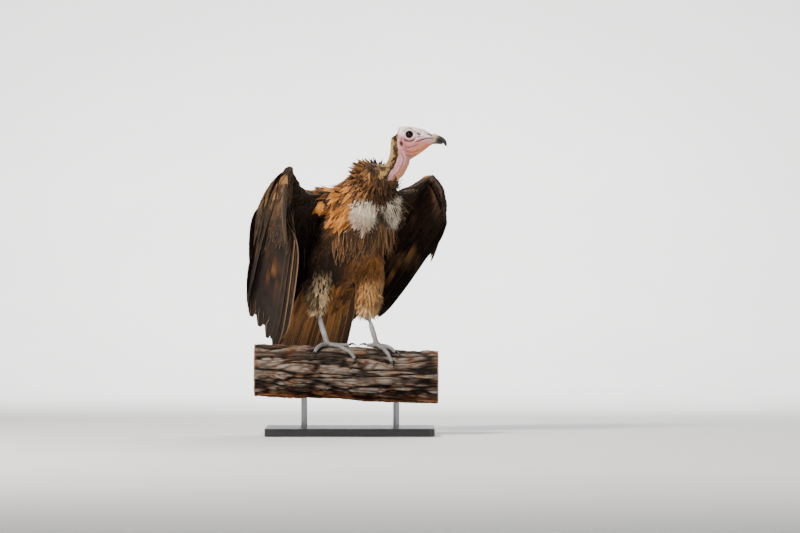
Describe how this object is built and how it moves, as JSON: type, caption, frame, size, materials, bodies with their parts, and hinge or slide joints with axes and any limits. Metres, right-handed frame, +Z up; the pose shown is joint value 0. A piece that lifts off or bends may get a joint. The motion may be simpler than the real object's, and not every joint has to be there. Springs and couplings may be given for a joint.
{
  "type": "hooded vulture figure",
  "caption": "Life-size vulture standing with half-spread drooped wings on a cut length of dead branch, held by a plain rod stand; a still display figure.",
  "frame": {"origin": "middle of the stand base's underside", "axes": "+Z up, -Y towards the viewer, +X to the viewer's right, the way the bill points"},
  "size_m": [0.5244, 0.5056, 0.803],
  "materials": {
    "bark": "rough",
    "claw": "semi-gloss",
    "covert": "matt",
    "down": "matt",
    "eye": "gloss",
    "flight": "satin",
    "horn": "satin",
    "plumage": "matt",
    "shank": "satin",
    "skin": "satin",
    "stand": "satin",
    "steel": "satin"
  },
  "bodies": {
    "root": {"alula_left": "flight", "alula_right": "flight", "bill_lower": "horn", "bill_upper": "horn", "claw_left_hind": "claw", "claw_left_inner": "claw", "claw_left_middle": "claw", "claw_left_outer": "claw", "claw_right_hind": "claw", "claw_right_inner": "claw", "claw_right_middle": "claw", "claw_right_outer": "claw", "eye_left": "eye", "eye_right": "eye", "foot_left": "shank", "foot_right": "shank", "forearm_left": "covert", "forearm_right": "covert", "hand_left": "covert", "hand_right": "covert", "head": "skin", "neck": "skin", "perch": "bark", "primaries_left": "flight", "primaries_right": "flight", "secondaries_left": "flight", "secondaries_right": "flight", "stand_base": "stand", "stand_rod_left": "steel", "stand_rod_right": "steel", "tail": "covert", "tarsus_left": "shank", "tarsus_right": "shank", "thigh_left": "down", "thigh_right": "down", "trunk": "plumage", "upper_arm_left": "covert", "upper_arm_right": "covert"}
  },
  "joints": []
}
